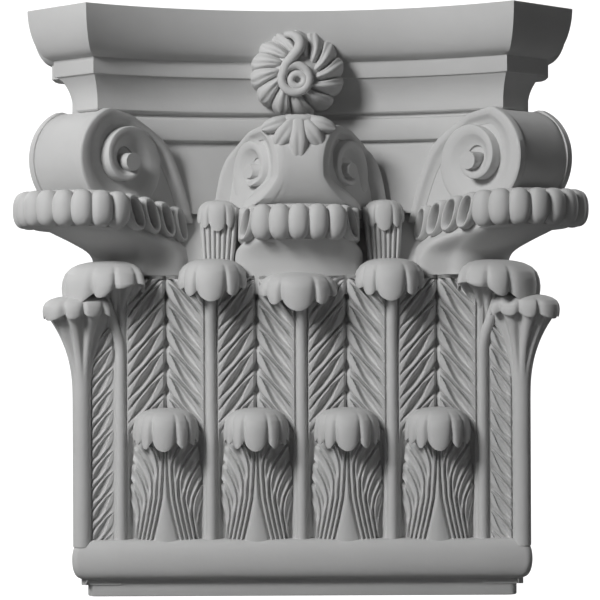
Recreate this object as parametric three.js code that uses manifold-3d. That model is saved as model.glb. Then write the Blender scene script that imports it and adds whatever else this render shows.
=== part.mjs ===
// Corinthian pilaster capital, moulded in one piece with a flat back for a wall.
// Millimetres, +Z up, +X to the right, the front looks along -Y and the wall lies at +Y.
// While it is built, y is the distance behind the abacus's front corners. The last step centres the depth.
import * as THREE from "three";
import { mergeVertices } from "three/addons/utils/BufferGeometryUtils.js";
import Module from "manifold-3d";

const wasm = await Module();
wasm.setup();

// Driving dimensions of the whole
const HEIGHT = 603;
const WALL_Y = 143;
const FRONT_Y = -7;
const CUT = 400;

// Abacus plan: a concave front of one arc, cut horns at 45 degrees, short coved sides
const HORN_NEAR_X = 214;
const HORN_FAR_X = 281;
const FRONT_DIP = 75;
const SIDE_DIP = 9;
const STRIP_X = 283;
const STRIP_Y = 114;
const FRONT_R = (HORN_NEAR_X ** 2 + FRONT_DIP ** 2) / (2 * FRONT_DIP);
const ARC_Y = FRONT_DIP - FRONT_R;
// Both corners are symmetric about a diagonal on which x + y is this
const CORNER_SUM = HORN_FAR_X;
const CORNER_MID = CORNER_SUM / Math.SQRT2;

// Leaves stand at one pitch along the front
const PITCH = 93;
const BELL_Y = 72;
const BLADE_BACK = 95;
const STEM_R = 5.5;
const STEM_Y = 59;
const LEAF_FOOT = 32;
const LEAF_HEAD = 326;
const LOBE_PITCH = 25;
const RIB_X = 221;
const RIB_R = 13;

// Base: a torus over a plain plinth, returned along both sides
const TORUS_MID = 38;
const TORUS_R = 21.5;
const TORUS_OUT = 15;
const PLINTH_HALF = 221;
const BASE_ROUND = 7;

// Scrolls: measured from the eye, forwards and up, on a face of the corner scroll
const CORNER_EYE = { ahead: 94, z: 445 };
const SCROLL_HALF = 41.5;
const RIBBON = 13;
const SCREW = 9;
const CENTRE_EYE = { y: 65, z: 437 };
const CENTRE_SCALE = 0.84;
const CENTRE_HALF = 26;
const CENTRE_FLARE = 0.65;

const { sin, cos, sqrt, abs, min, hypot, PI } = Math;
const mix = (a, b, k) => a + (b - a) * k;

// Reads a value between the [key, value] pairs of a list
function along(pairs, key) {
  const next = pairs.findIndex(([k]) => k >= key);
  if (next <= 0) return next === 0 ? pairs[0][1] : pairs.at(-1)[1];
  const [k0, v0] = pairs[next - 1];
  const [k1, v1] = pairs[next];
  return mix(v0, v1, (key - k0) / (k1 - k0));
}

// Makes a solid of a closed geometry
function solid(geometry) {
  geometry.deleteAttribute("normal");
  geometry.deleteAttribute("uv");
  const merged = mergeVertices(geometry, 1e-3);
  const points = merged.attributes.position.array;
  const corners = new Uint32Array(merged.index.array);
  return new wasm.Manifold(new wasm.Mesh({ numProp: 3, vertProperties: points, triVerts: corners }));
}

// Moves every point of a geometry to the place worked out from it, then makes a solid
function shaped(geometry, place) {
  const points = geometry.attributes.position;
  for (let i = 0; i < points.count; i++) {
    points.setXYZ(i, ...place(points.getX(i), points.getY(i), points.getZ(i)));
  }
  return solid(geometry);
}

// A slab with a carved front, front(u, v) -> [x, y, z], and a flat back
function slab(columns, rows, backY, front) {
  const box = new THREE.BoxGeometry(1, 1, 1, columns, 1, rows);
  return shaped(box, (bx, by, bz) => {
    const [x, y, z] = front(bx + 0.5, bz + 0.5);
    return [x, by < 0 ? y : backY, z];
  });
}

// A solid through plan outlines with equal numbers of points, listed from the top down
function loft(rings) {
  const count = rings[0].length;
  const index = [];
  for (let a = 0; a + count < rings.length * count; a += count) {
    for (let i = 0; i < count; i++) {
      const j = (i + 1) % count;
      index.push(a + i, a + count + i, a + count + j, a + i, a + count + j, a + j);
    }
  }
  const base = (rings.length - 1) * count;
  const faces = (ring) => THREE.ShapeUtils.triangulateShape(ring.map(([x, y]) => new THREE.Vector2(x, y)), []);
  for (const [a, b, c] of faces(rings[0])) index.push(a, b, c);
  for (const [a, b, c] of faces(rings.at(-1))) index.push(base + c, base + b, base + a);
  const geometry = new THREE.BufferGeometry();
  geometry.setAttribute("position", new THREE.Float32BufferAttribute(rings.flat(2), 3));
  geometry.setIndex(index);
  return solid(geometry);
}

const atHeight = (outline, z) => outline.map(([x, y]) => [x, y, z]);
const union = (solids) => solids.reduce((all, next) => all.add(next));
const mirrored = (piece) => piece.mirror([1, 0, 0]);
const bothSides = (piece) => piece.add(mirrored(piece));
// Mirrors a solid about the diagonal of the right corner, from the front onto the side
const ontoSide = (piece) => piece.mirror([1, 1, 0]).translate([CORNER_SUM, CORNER_SUM, 0]);

// Abacus and bell

const FRONT_STEPS = 10;
const SIDE_STEPS = 3;

// Front corner of the horn when the whole plan is drawn in by an inset
function hornNear(inset) {
  const chamfer = HORN_NEAR_X - inset * Math.SQRT2;
  const b = ARC_Y + chamfer;
  const x = (b + sqrt(2 * (FRONT_R + inset) ** 2 - b * b)) / 2;
  return [x, x - chamfer];
}

function abacusPlan(inset) {
  const near = hornNear(inset);
  const farX = HORN_FAR_X - 1.33 * inset;
  const far = [farX, farX - HORN_NEAR_X + inset * Math.SQRT2];
  const strip = [STRIP_X - inset, STRIP_Y];
  const right = [near];
  for (let i = 0; i <= SIDE_STEPS; i++) {
    const k = i / SIDE_STEPS;
    right.push([mix(far[0], strip[0], k) - SIDE_DIP * sin(PI * k), mix(far[1], strip[1], k)]);
  }
  right.push([strip[0], WALL_Y]);
  const front = [];
  for (let i = 1; i < FRONT_STEPS; i++) {
    const x = mix(-near[0], near[0], i / FRONT_STEPS);
    front.push([x, ARC_Y + sqrt((FRONT_R + inset) ** 2 - x * x)]);
  }
  const left = right.map(([x, y]) => [-x, y]).reverse();
  return [...left, ...front, ...right];
}

// Height and inset of the ovolo, fillet, cavetto, neck, groove, lip and bell
const ABACUS_LEVELS = [
  [HEIGHT, 0],
  [590, 0.7],
  [580, 4],
  [569, 10],
  [560, 17],
  [552.5, 23.5],
  [552, 25],
  [536, 25],
  [534, 28],
  [525, 34],
  [516, 37.5],
  [500, 38.5],
  [498, 46],
  [493, 41],
  [472, 43],
  [470, 50],
  [320, 51.5],
];

const abacus = () => loft(ABACUS_LEVELS.map(([z, inset]) => atHeight(abacusPlan(inset), z)));

function bellCore() {
  const box = new THREE.BoxGeometry(2 * (CORNER_SUM - BELL_Y), CUT, LEAF_HEAD);
  return solid(box.translate(0, BELL_Y + CUT / 2, LEAF_HEAD / 2 + 10));
}

// Base

function basePlan(half) {
  const front = CORNER_SUM - half;
  const right = [];
  for (let i = 0; i <= 3; i++) {
    const a = (PI / 6) * i;
    right.push([half - BASE_ROUND * (1 - sin(a)), front + BASE_ROUND * (1 - cos(a))]);
  }
  right.push([half, WALL_Y]);
  return [...right.map(([x, y]) => [-x, y]).reverse(), ...right];
}

function base() {
  const levels = [];
  for (let i = 4; i >= -4; i--) {
    const k = 0.246 * i;
    levels.push([TORUS_MID + TORUS_R * k, PLINTH_HALF + TORUS_OUT * sqrt(1 - k * k)]);
  }
  levels.push([15, PLINTH_HALF], [1.5, PLINTH_HALF], [0, PLINTH_HALF - 1.5]);
  return loft(levels.map(([z, half]) => atHeight(basePlan(half), z)));
}

// Leaves

// One side of an upright leaf, from its stem at x = 0 to its edge at +x.
// Its lobes rise outwards, each a ridge between two grooves.
function leafSide({ width, foot, head, rise, pitch, front, out }) {
  const lobes = Math.round((head - foot) / pitch);
  const rows = 2 * lobes;
  return slab(2, rows, BLADE_BACK, (u, v) => {
    const groove = Math.round(v * rows) % 2 === 0 ? 1 : 0;
    const z = foot + v * lobes * pitch + rise * u ** 0.75;
    const top = head + 10 * u;
    const carve = groove * (5 * sin(PI * u ** 1.4) + 4 * u);
    return [u * width - 5 * groove * u * u, front + out * u * u + carve, z < top ? z : top + 0.05 * (z - top)];
  });
}

const upperSide = () =>
  leafSide({ width: 44, foot: 170, head: LEAF_HEAD, rise: 34, pitch: LOBE_PITCH, front: 59, out: 9 });

function upperLeaf(x) {
  const tube = new THREE.CylinderGeometry(STEM_R, STEM_R, LEAF_HEAD - LEAF_FOOT, 8).rotateX(PI / 2);
  const stem = solid(tube.translate(0, STEM_Y, (LEAF_HEAD + LEAF_FOOT) / 2));
  return bothSides(upperSide()).add(stem).translate([x, 0, 0]);
}

// A leaf tip that curls forwards and hangs, a dome with lobes round its front rim.
// Pairs of radius and height, a fraction of the rise above its middle and of the hang below
const TIP_PROFILE = [
  [0, 1],
  [0.5, 0.88],
  [0.88, 0.35],
  [1, -0.35],
  [0.93, -1],
  [0, -0.75],
];

function leafTip({ x, y, z, yaw = 0, half, reach, rise, hang, lobes = 5 }) {
  const profile = TIP_PROFILE.map(([radius, height]) => new THREE.Vector2(radius, height)).reverse();
  const backSteps = 2;
  const halfSteps = lobes + backSteps;
  const dome = new THREE.LatheGeometry(profile, 2 * halfSteps).rotateX(PI / 2);
  return shaped(dome, (sx, sy, sz) => {
    // Steps round the dome from its front; the lobes take the front half of it
    const step = Math.round((Math.atan2(sx, -sy) / PI) * halfSteps);
    const behind = Math.max(0, abs(step) - lobes) / backSteps;
    const turn = Math.sign(step) * (PI / 2) * (min(abs(step) / lobes, 1) + behind);
    const wave = abs(step) % 2 === 1 ? 0 : 1;
    const radius = hypot(sx, sy);
    const scallop = mix(1, mix(0.84, 1, wave), radius);
    const hung = sz > 0 ? rise * sz : hang * sz * mix(0.72, 1, wave) * mix(1, 0.75, abs(sin(turn)));
    const side = half * radius * scallop * sin(turn);
    const ahead = radius * scallop * cos(turn) * (cos(turn) > 0 ? reach : 16);
    return [x + side * cos(yaw) + ahead * sin(yaw), y - ahead * cos(yaw) + side * sin(yaw), z + hung];
  });
}

// Lower leaf: upright folds below a hanging tip
function lowerLeaf(x) {
  const folds = 5;
  const blade = slab(2 * folds, 3, BLADE_BACK, (u, v) => {
    const a = 2 * u - 1;
    const fold = Math.round(2 * folds * u) % 2 === 0 ? 6 : 0;
    const width = mix(33, 36, sin(PI * v));
    return [a * width, 48 + 10 * a * a + fold * mix(0.6, 1, v) - 3 * v, mix(LEAF_FOOT, 180, v)];
  });
  const tip = leafTip({ x: 0, y: 60, z: 172, half: 35, reach: 36, rise: 22, hang: 22 });
  return blade.add(tip).translate([x, 0, 0]);
}

// Corner leaf: its midrib stands on the diagonal and one side of it lies on each face
function cornerLeaf() {
  const half = leafSide({ width: 30, foot: LEAF_FOOT, head: 292, rise: 28, pitch: LOBE_PITCH, front: 56, out: 6 });
  const front = mirrored(half).translate([RIB_X, 0, 0]);
  const tube = new THREE.CylinderGeometry(RIB_R, RIB_R, 260, 12).rotateX(PI / 2);
  const rib = solid(tube.translate(RIB_X, CORNER_SUM - RIB_X, LEAF_FOOT + 130));
  const tip = leafTip({
    x: RIB_X - 2,
    y: CORNER_SUM - RIB_X + 2,
    z: 289,
    yaw: PI / 4,
    half: 38,
    reach: 54,
    rise: 17,
    hang: 17,
  });
  return union([front, ontoSide(front), rib, tip]);
}

// The plain leaf on the side, between the corner leaf and the wall
function sideLeaf() {
  const half = leafSide({ width: 40, foot: LEAF_FOOT, head: 315, rise: 34, pitch: 2.4 * LOBE_PITCH, front: 60, out: 6 });
  return ontoSide(bothSides(half).translate([CORNER_SUM - 112, 0, 0]));
}

function leaves() {
  const corner = cornerLeaf().add(sideLeaf());
  const outer = upperLeaf(2 * PITCH).add(
    leafTip({ x: 2 * PITCH + 5, y: 60, z: 324, yaw: 0.68, half: 43, reach: 38, rise: 21, hang: 22 }),
  );
  const inner = upperLeaf(PITCH).add(
    leafTip({ x: PITCH, y: 62, z: 326, half: 37, reach: 42, rise: 21, hang: 23 }),
  );
  const middle = upperLeaf(0).add(leafTip({ x: -3, y: 62, z: 317, half: 41, reach: 46, rise: 17, hang: 22 }));
  const lower = lowerLeaf(PITCH / 2).add(lowerLeaf(1.5 * PITCH));
  return union([bothSides(corner), bothSides(outer), bothSides(inner), bothSides(lower), middle]);
}

// Scrolls

// Outer and inner edge of the ribbon by its turn in degrees, counted from straight ahead
const RIBBON_OUTER = [[-70, 57], [-45, 59], [0, 56], [45, 47], [90, 38], [180, 33], [270, 28], [360, 18], [450, 10]];
const RIBBON_INNER = [[-70, 43], [0, 41], [90, 26], [180, 19], [270, 16], [360, 7], [450, 1]];
const STEM_OUTER = [[-92, -50], [-86, -35], [-61, 19], [-32, 38], [-8, 50]];
const STEM_INNER = [[-6, 36], [-25, 25], [-48, 7], [-70, -37], [-76, -50]];
const SPIRAL_END = 450;

function spiral(edge, to, step, drawnIn = 0) {
  const points = [];
  for (let turn = -70; turn <= to; turn += step) {
    const radius = along(edge, turn) - drawnIn;
    const a = (-turn * PI) / 180;
    points.push([radius * cos(a), radius * sin(a)]);
  }
  return points;
}

function extruded(outline, from, to) {
  const shape = new THREE.Shape(outline.map(([x, y]) => new THREE.Vector2(x, y)));
  return new THREE.ExtrudeGeometry(shape, { depth: to - from, bevelEnabled: false }).translate(0, 0, from);
}

// place(ahead, up, across) puts a point of the scroll on the capital
function scroll(half, place) {
  const channel = 7;
  const web = [...STEM_OUTER.map(([x, y]) => [x + channel, y - channel]), ...spiral(RIBBON_OUTER, 90, 32, channel)];
  const ribbon = [
    ...STEM_OUTER,
    ...spiral(RIBBON_OUTER, SPIRAL_END, 26),
    ...spiral(RIBBON_INNER, SPIRAL_END, 40).reverse(),
    ...STEM_INNER,
  ];
  const flat = (x, y, t) => place(x, y, -t);
  const screw = (x, y, t) => {
    const inner = abs(t) > half - 1 ? Math.max(0, 1 - hypot(x, y) / 34) : 0;
    return flat(x, y, t * (1 + (SCREW * inner) / half));
  };
  return union([
    shaped(extruded(web, -half + 7, half - 7), flat),
    shaped(extruded(ribbon, half - RIBBON, half), screw),
    shaped(extruded(ribbon, -half, RIBBON - half), screw),
  ]);
}

const cornerScroll = () =>
  scroll(SCROLL_HALF, (ahead, up, across) => {
    const forward = CORNER_EYE.ahead + ahead;
    const aside = CORNER_MID + across;
    return [(aside + forward) / Math.SQRT2, (aside - forward) / Math.SQRT2, CORNER_EYE.z + up];
  });

const centreScroll = () =>
  scroll(CENTRE_HALF, (ahead, up, across) => {
    const y = CENTRE_EYE.y - CENTRE_SCALE * CENTRE_SCALE * ahead;
    const flare = 1 + ((y - 30) * CENTRE_FLARE) / CENTRE_HALF;
    return [across * flare, y, CENTRE_EYE.z + CENTRE_SCALE * up];
  });

// Trays of eggs below the scrolls

// Points round the rim of a tray, whose half outline is a list of [ahead, aside] pairs
function rim(half, eggs, slots) {
  const line = [...half.map(([a, b]) => [a, -b]), ...half.slice(0, -1).reverse()];
  const lengths = [[0, 0]];
  for (let i = 1; i < line.length; i++) {
    lengths.push([lengths[i - 1][0] + hypot(line[i][0] - line[i - 1][0], line[i][1] - line[i - 1][1]), i]);
  }
  const cells = eggs + 2 * slots;
  const points = [];
  for (let i = 0; i <= 2 * cells; i++) {
    const place = along(lengths, (lengths.at(-1)[0] * i) / (2 * cells));
    const n = min(Math.floor(place), line.length - 2);
    const cell = Math.floor(i / 2);
    const isEgg = cell >= slots && cell < cells - slots;
    const raised = i % 2;
    points.push({
      ahead: mix(line[n][0], line[n + 1][0], place - n),
      aside: mix(line[n][1], line[n + 1][1], place - n),
      bulge: isEgg ? raised : -raised * 0.8,
    });
  }
  return points;
}

function tray({ half, eggs, slots, top, bottom, cup, place }) {
  const points = rim(half, eggs, slots);
  const middle = (top + bottom) / 2;
  const swell = [[top, 0.4], [middle, 1], [bottom, 0.4]];
  const rings = swell.map(([z, k]) =>
    points.map(({ ahead, aside, bulge }) => {
      const out = 5 * (k - 1) + 5 * k * (bulge - 1);
      const length = hypot(ahead - half[0][0] * 0.6, aside);
      const drawn = 1 + out / length;
      return [...place(ahead * drawn, aside * drawn), z];
    }),
  );
  const coarse = points.filter((_, i) => i % 4 === 0);
  const cupRings = cup.map(([z, reach, width]) =>
    coarse.map(({ ahead, aside }) => [...place(ahead * reach, aside * width), z]),
  );
  return loft(rings).add(loft(cupRings));
}

const cornerTray = () =>
  tray({
    half: [[0, 45], [60, 49], [110, 51], [140, 51], [160, 44], [178, 31], [190, 18], [196, 8], [198, 0]],
    eggs: 17,
    slots: 4,
    top: 414,
    bottom: 378,
    cup: [[398, 0.9, 0.85], [378, 0.8, 0.8], [366, 0.63, 0.68], [355, 0.52, 0.6], [345, 0.48, 0.56], [322, 0.44, 0.5]],
    place: (ahead, aside) => [(CORNER_MID + ahead + aside) / Math.SQRT2, (CORNER_MID - ahead + aside) / Math.SQRT2],
  });

const centreTray = () =>
  tray({
    half: [[0, 62], [30, 64], [48, 60], [62, 47], [71, 28], [75, 10], [76, 0]],
    eggs: 5,
    slots: 2,
    top: 402,
    bottom: 366,
    cup: [[390, 0.9, 0.9], [364, 0.82, 0.93], [350, 0.7, 0.98], [338, 0.58, 0.95], [318, 0.45, 0.72]],
    place: (ahead, aside) => [aside, 91 - ahead],
  });

// Fans between the trays, flowers and petals

function fan() {
  const stalks = 4;
  const blade = slab(2 * stalks, 1, 130, (u, v) => {
    const groove = Math.round(2 * stalks * u) % 2 === 0 ? 5 : 0;
    const half = mix(17, 22, v);
    return [PITCH + (2 * u - 1) * half, mix(70, 86, v) + groove, mix(322, 404, v)];
  });
  const tip = leafTip({ x: PITCH + 3, y: 92, z: 392, half: 22, reach: 26, rise: 16, hang: 18, lobes: 3 });
  return blade.add(tip);
}

const FLOWER = { x: -3, y: 74, z: 538, halfWidth: 48, halfHeight: 43, petals: 12 };

function flower() {
  const outline = [];
  const steps = 3 * FLOWER.petals;
  for (let i = 0; i < steps; i++) {
    const a = (2 * PI * i) / steps;
    const radius = i % 3 === 0 ? 0.82 : 1;
    outline.push([FLOWER.halfWidth * radius * cos(a), FLOWER.halfHeight * radius * sin(a)]);
  }
  const petals = shaped(extruded(outline, 0, 14), (x, z, depth) => [x, 102 - depth * 2.6, z]);
  const groove = solid(new THREE.TorusGeometry(20, 5, 5, 14).scale(1.15, 1, 0.8).rotateX(PI / 2).translate(0, 64, 5));
  const button = solid(new THREE.SphereGeometry(15, 10, 5).scale(1, 0.6, 1).translate(0, 64, 0));
  return union([petals, groove, button]).translate([FLOWER.x, 0, FLOWER.z]);
}

// Five petals hang from the abacus over the centre scroll
function petals() {
  const made = [-2, -1, 0, 1, 2].map((n) => {
    const length = 46 - 7 * abs(n);
    const drop = new THREE.SphereGeometry(1, 6, 4).scale(7, 5, length / 2).translate(0, 0, -length / 2);
    return solid(drop.rotateY(-0.55 * n).translate(4 * n, 30 + 3 * abs(n), 488));
  });
  return union(made);
}

const room = solid(
  new THREE.BoxGeometry(2 * CUT, WALL_Y - FRONT_Y, HEIGHT).translate(0, (WALL_Y + FRONT_Y) / 2, HEIGHT / 2),
);

const whole = union([
  abacus(),
  bellCore(),
  base(),
  leaves(),
  bothSides(cornerScroll()),
  bothSides(cornerTray()),
  bothSides(fan()),
  centreScroll(),
  centreTray(),
  flower(),
  petals(),
])
  .intersect(room)
  .translate([0, -(WALL_Y + FRONT_Y) / 2, 0]);

const mesh = whole.getMesh();
const geometry = new THREE.BufferGeometry();
geometry.setAttribute("position", new THREE.Float32BufferAttribute(mesh.vertProperties, 3));
geometry.setIndex([...mesh.triVerts]);
geometry.computeVertexNormals();

const capital = new THREE.Mesh(
  geometry,
  new THREE.MeshStandardMaterial({ color: 0xd9d9d6, roughness: 0.75, metalness: 0 }),
);
capital.name = "pilaster_capital";

const group = new THREE.Group();
group.add(capital);
export default group;
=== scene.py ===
"""Looks of a Corinthian pilaster capital, moulded in one piece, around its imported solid.

Shapes are worked out in millimetres, with y counted backwards from the front corners of the abacus,
and each finished piece is then set into the frame of the solid, in metres.
"""
import math

import bpy
import numpy as np
from mathutils import Euler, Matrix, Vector


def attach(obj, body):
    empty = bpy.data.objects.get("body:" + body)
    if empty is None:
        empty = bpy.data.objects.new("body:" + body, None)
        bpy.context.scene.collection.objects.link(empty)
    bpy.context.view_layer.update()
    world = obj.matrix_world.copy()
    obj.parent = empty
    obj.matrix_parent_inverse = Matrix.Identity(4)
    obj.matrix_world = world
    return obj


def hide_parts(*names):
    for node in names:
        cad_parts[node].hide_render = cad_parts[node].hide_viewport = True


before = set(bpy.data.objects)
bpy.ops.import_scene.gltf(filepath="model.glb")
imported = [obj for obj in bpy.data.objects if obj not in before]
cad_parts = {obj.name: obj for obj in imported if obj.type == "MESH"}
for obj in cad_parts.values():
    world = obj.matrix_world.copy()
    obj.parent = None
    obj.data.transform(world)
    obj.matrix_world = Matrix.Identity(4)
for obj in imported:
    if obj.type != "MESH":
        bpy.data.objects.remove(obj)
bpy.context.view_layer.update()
NODE = "pilaster_capital"

# Size of the whole, as in the solid
HEIGHT = 603
WALL_Y = 143
FRONT_Y = -7
MIDDLE_Y = (WALL_Y + FRONT_Y) / 2
MM = 0.001

# Plan of the abacus and the diagonal of its corners, on which x + y is CORNER_SUM
HORN_NEAR_X = 214
HORN_FAR_X = 281
FRONT_DIP = 75
SIDE_DIP = 9
STRIP_X = 283
STRIP_Y = 114
FRONT_R = (HORN_NEAR_X**2 + FRONT_DIP**2) / (2 * FRONT_DIP)
ARC_Y = FRONT_DIP - FRONT_R
CORNER_SUM = HORN_FAR_X
ROOT2 = math.sqrt(2)
CORNER_MID = CORNER_SUM / ROOT2

# Leaves: distance from stem to stem, heights, and how far back the blades run
PITCH = 93
LEAF_TOP = 326
BASE_TOP = 56
BLADE_BACK = 95
STEM_Y = 59
STEM_R = 5.4


# Making shapes


def smooth(low, high, value):
    k = np.clip((value - low) / (high - low), 0, 1)
    return k * k * (3 - 2 * k)


def mix(a, b, k):
    return a + (b - a) * k


def read_off(table, value):
    """Reads a table of pairs: the first numbers lead to the second ones, in straight steps."""
    known, wanted = zip(*table)
    return np.interp(value, known, wanted)


def points_of(piece):
    flat = np.empty(3 * len(piece.data.vertices), np.float32)
    piece.data.vertices.foreach_get("co", flat)
    return flat.reshape(-1, 3).astype(float)


def move_points(piece, x, y, z):
    places = np.stack(np.broadcast_arrays(x, y, z), axis=-1)
    piece.data.vertices.foreach_set("co", places.astype(np.float32).ravel())
    piece.data.update()


def edit(piece):
    bpy.ops.object.select_all(action="DESELECT")
    bpy.context.view_layer.objects.active = piece
    piece.select_set(True)
    bpy.ops.object.mode_set(mode="EDIT")
    bpy.ops.mesh.select_all(action="SELECT")


def done():
    bpy.ops.object.mode_set(mode="OBJECT")
    return bpy.context.object


def face_out(piece):
    edit(piece)
    bpy.ops.mesh.normals_make_consistent(inside=False)
    return done()


def grid(columns, rows, place):
    """A grid whose points are pushed and pulled one by one. place(u, v) gives x, y and z."""
    bpy.ops.object.select_all(action="DESELECT")
    bpy.ops.mesh.primitive_grid_add(x_subdivisions=columns, y_subdivisions=rows, size=1)
    piece = bpy.context.object
    flat = points_of(piece)
    move_points(piece, *place(flat[:, 0] + 0.5, flat[:, 1] + 0.5))
    return piece


def relief(columns, rows, back, place):
    """A carved front with straight sides that run back to a flat plane at y = back."""
    piece = grid(columns, rows, place)
    edit(piece)
    bpy.ops.mesh.select_all(action="DESELECT")
    bpy.ops.mesh.select_non_manifold()
    bpy.ops.mesh.extrude_region_move()
    bpy.ops.mesh.edge_face_add()
    done()
    extruded = np.empty(len(piece.data.vertices), bool)
    piece.data.vertices.foreach_get("select", extruded)
    places = points_of(piece)
    places[extruded, 1] = back
    move_points(piece, *places.T)
    return face_out(piece)


def loft(rings, closed=False):
    """A skin through rings of points, an array of ring by point by x, y and z, with its ends filled."""
    rings = np.asarray(rings, float)
    count, around = rings.shape[:2]
    rows = count if closed else count - 1

    def place(u, v):
        i = np.rint(u * around).astype(int) % around
        j = np.rint(v * rows).astype(int) % count
        return rings[j, i].T

    piece = grid(around, rows, place)
    edit(piece)
    bpy.ops.mesh.remove_doubles(threshold=1e-4)
    if not closed:
        bpy.ops.mesh.select_all(action="DESELECT")
        bpy.ops.mesh.select_non_manifold()
        bpy.ops.mesh.fill_holes(sides=0)
    bpy.ops.mesh.select_all(action="SELECT")
    bpy.ops.mesh.normals_make_consistent(inside=False)
    return done()


def ball(centre, size, turn=(0, 0, 0), segments=24, fullness=2.0):
    """An egg-shaped lump, of three half sizes. fullness over 2 fills it out towards a box."""
    bpy.ops.object.select_all(action="DESELECT")
    bpy.ops.mesh.primitive_uv_sphere_add(segments=segments, ring_count=16, radius=1)
    piece = bpy.context.object
    turned = np.array(Euler(turn).to_matrix())
    round_places = points_of(piece)
    spread = np.sum(np.abs(round_places) ** fullness, axis=1, keepdims=True) ** (1 / fullness)
    places = (round_places / spread * size) @ turned.T + centre
    move_points(piece, *places.T)
    return piece


def tube(path, radius, around=12, closed=False, flatten=(1, 1)):
    """A round bar along a list of points. radius is one number or one for each point."""
    path = np.asarray(path, float)
    ahead = np.gradient(path, axis=0)
    if closed:
        ahead = np.roll(path, -1, axis=0) - np.roll(path, 1, axis=0)
    ahead /= np.linalg.norm(ahead, axis=1, keepdims=True)
    side = np.cross(ahead, (0, 1, 0))
    side /= np.linalg.norm(side, axis=1, keepdims=True)
    up = np.cross(side, ahead)
    turn = np.arange(around) * 2 * math.pi / around
    radius = np.broadcast_to(radius, len(path))[:, None, None]
    wide = flatten[0] * np.cos(turn)[None, :, None] * side[:, None]
    high = flatten[1] * np.sin(turn)[None, :, None] * up[:, None]
    return loft(path[:, None] + radius * (wide + high), closed)


def lengths_along(line):
    return np.concatenate([[0], np.cumsum(np.linalg.norm(np.diff(line, axis=0), axis=1))])


def points_at(line, lengths, at):
    """The points of a line at the given lengths along it."""
    return np.stack([np.interp(at, lengths, line[:, k]) for k in range(line.shape[1])], axis=-1)


def smooth_line(points, steps):
    """A line at equal steps through the points, its corners rounded off by a running mean."""
    points = np.asarray(points, float)
    lengths = lengths_along(points)
    line = points_at(points, lengths, np.linspace(0, lengths[-1], steps))
    width = max(3, steps // len(points) | 1)
    kernel = np.ones(width) / width
    padded = np.concatenate([
        2 * line[0] - line[1 : width // 2 + 1][::-1],
        line,
        2 * line[-1] - line[-width // 2 : -1][::-1],
    ])
    return np.stack([np.convolve(padded[:, k], kernel, mode="valid") for k in range(line.shape[1])], axis=-1)


def copy_of(piece, change):
    """A copy with its own mesh, whose points change(x, y, z) moves."""
    twin = piece.copy()
    twin.data = piece.data.copy()
    bpy.context.collection.objects.link(twin)
    move_points(twin, *change(*points_of(twin).T))
    return twin


def moved(piece, by):
    return copy_of(piece, lambda x, y, z: (x + by, y, z))


def slide(piece, by):
    move_points(piece, *(points_of(piece) + (by, 0, 0)).T)


def mirrored(piece):
    """A mirror image about the middle plane, x = 0."""
    return face_out(copy_of(piece, lambda x, y, z: (-x, y, z)))


def on_side(piece):
    """The piece carried round the corner, mirrored about the diagonal."""
    return face_out(copy_of(piece, lambda x, y, z: (CORNER_SUM - y, CORNER_SUM - x, z)))


def both(pieces):
    return pieces + [mirrored(piece) for piece in pieces]


def discard(*patterns):
    for pattern in patterns:
        bpy.data.objects.remove(pattern)


# Abacus, bell and base

FRONT_STEPS = 72
SIDE_STEPS = 12
# Share of an inset by which the chamfer of a corner and the concave front draw in
CHAMFER_DRAW = 1.05
FRONT_DRAW = 0.97
# By inset: width of the face at a corner, and how far the strip by the wall draws in
FACE_WIDTH = ((0, HORN_FAR_X - HORN_NEAR_X), (25, 46), (40, 23), (52, 18))
STRIP_DRAW = ((0, 0), (25, 20), (27, 32), (38, 43))
# Softened top edge of the abacus
TOP_EDGE = 0.6
# Ovolo: how far it comes down, how far it draws in, and how full it is
OVOLO = (50, 23.5, 1.85)
# Cavetto: its top, how far it comes down, where it starts, how far it draws in, and how hollow it is
CAVETTO = (535, 30, 28, 10.5, 2.2)
# Height and inset of the fillet between them, and of the neck, the lip and the foot of the block below
FILLET = ((552.4, 25), (551.5, 25.3), (537, 25.3), (535.6, 26), (535, 28))
NECK = ((501, 38.8), (499.5, 40), (498.6, 45), (497, 46), (495, 45), (493.5, 42))
LIP = ((490, 40.8), (474, 42), (471.5, 43.2), (470.3, 46), (469.5, 50), (395, 51.5))

BELL_BACK = WALL_Y - 0.4
# Height, half width and front of the bell behind the leaves
BELL_LEVELS = ((10, 207, 74), (332, 207, 74), (345, 204, 82), (400, 198, 122))

# Torus: its middle height, half height, half width where it starts, swell and fullness
TORUS_Z = 38.5
TORUS_HALF = 20.5
TORUS_NECK = 220.5
TORUS_SWELL = 15.5
TORUS_FULLNESS = 0.55
# Height and half width of the recess and the plinth below the torus
PLINTH = ((17.6, 221.3), (16.4, 221), (1.6, 221), (0.5, 220.6), (0, 219.6))


def abacus_plan(inset):
    """Points round the abacus, drawn in by inset, from the back left by the front to the back right."""
    front_r = FRONT_R + FRONT_DRAW * inset
    chamfer = HORN_NEAR_X - CHAMFER_DRAW * inset * ROOT2
    b = ARC_Y + chamfer
    near_x = (b + math.sqrt(2 * front_r**2 - b * b)) / 2
    near_y = near_x - chamfer
    face = read_off(FACE_WIDTH, inset)
    strip_x = STRIP_X - read_off(STRIP_DRAW, inset)
    right = [(near_x, near_y)]
    for k in np.linspace(0, 1, SIDE_STEPS + 1):
        cove = SIDE_DIP * math.sin(math.pi * k)
        right.append((mix(near_x + face, strip_x, k) - cove, mix(near_y + face, STRIP_Y, k)))
    right.append((strip_x, WALL_Y))
    across = np.linspace(-near_x, near_x, FRONT_STEPS + 1)[1:-1]
    front = [(x, ARC_Y + math.sqrt(front_r**2 - x * x)) for x in across]
    left = [(-x, y) for x, y in reversed(right)]
    return left + front + right


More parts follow.
